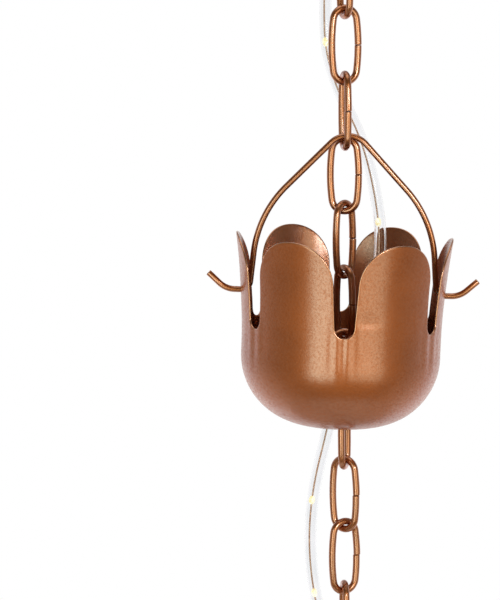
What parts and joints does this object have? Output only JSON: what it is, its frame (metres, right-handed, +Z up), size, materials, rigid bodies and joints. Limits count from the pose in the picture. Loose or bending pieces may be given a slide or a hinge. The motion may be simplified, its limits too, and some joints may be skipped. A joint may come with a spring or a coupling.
{
  "type": "rain chain",
  "caption": "Oval-link rain chain with a petalled tulip cup hung on a wire bail, and a clear light tube threaded behind the links and out through the cup's drain hole.",
  "frame": {"origin": "the underside of the top bend of the first link, where a hook holds the chain", "axes": "+Z up along the chain, -Y to the front, +X to the viewer's right"},
  "size_m": [0.1081, 0.0827, 0.287],
  "materials": {
    "copper_wire": "satin copper coat with a fine grain",
    "copper_sheet": "satin copper coat with a fine orange-peel grain",
    "clear_tube": "clear flexible tubing",
    "light_wire": "thin enamelled copper wire",
    "light_bead": "clear resin drop over a small lamp"
  },
  "bodies": {
    "link_1": {"link_1": "copper_wire"},
    "link_2": {"link_2": "copper_wire"},
    "link_3": {"link_3": "copper_wire"},
    "hanger": {"bail": "copper_wire", "link_4": "copper_wire", "link_5": "copper_wire", "link_6": "copper_wire", "link_7": "copper_wire", "link_8": "copper_wire", "light_tube": "clear_tube", "light_wire": "light_wire", "light_bead_1": "light_bead", "light_bead_2": "light_bead", "light_bead_3": "light_bead", "light_bead_4": "light_bead", "light_bead_5": "light_bead", "upper_tube_plug": "clear_tube", "lower_tube_plug": "clear_tube"},
    "cup": {"cup": "copper_sheet"},
    "link_9": {"link_9": "copper_wire"},
    "link_10": {"link_10": "copper_wire"},
    "link_11": {"link_11": "copper_wire"}
  },
  "joints": [
    {"name": "link_2_swing", "type": "hinge", "parent": "link_1", "child": "link_2", "pos_m": [0, 0, -0.0273], "axis": [0.3584, -0.9336, 0], "range_deg": [-7, 7]},
    {"name": "link_3_swing", "type": "hinge", "parent": "link_2", "child": "link_3", "pos_m": [0, 0, -0.0529], "axis": [0.9135, 0.4067, 0], "range_deg": [-7, 7]},
    {"name": "bail_swing", "type": "hinge", "parent": "link_3", "child": "hanger", "pos_m": [0, 0, -0.0785], "axis": [0.225, -0.9744, 0], "range_deg": [-7, 7]},
    {"name": "cup_tilt", "type": "hinge", "parent": "hanger", "child": "cup", "pos_m": [-0.00084, -0.00189, -0.13564], "axis": [0.999, 0.0244, -0.0366], "range_deg": [-0.5, 4]},
    {"name": "link_9_swing", "type": "hinge", "parent": "hanger", "child": "link_9", "pos_m": [-0.00021, 0.00093, -0.20597], "axis": [0.225, 0.9744, 0], "range_deg": [-8, 4]},
    {"name": "link_10_swing", "type": "hinge", "parent": "link_9", "child": "link_10", "pos_m": [-0.00021, 0.00093, -0.23157], "axis": [0.8339, -0.5519, 0], "range_deg": [-8, 4]},
    {"name": "link_11_swing", "type": "hinge", "parent": "link_10", "child": "link_11", "pos_m": [-0.00021, 0.00093, -0.25717], "axis": [0.8746, 0.4848, 0], "range_deg": [-8, 4]}
  ]
}
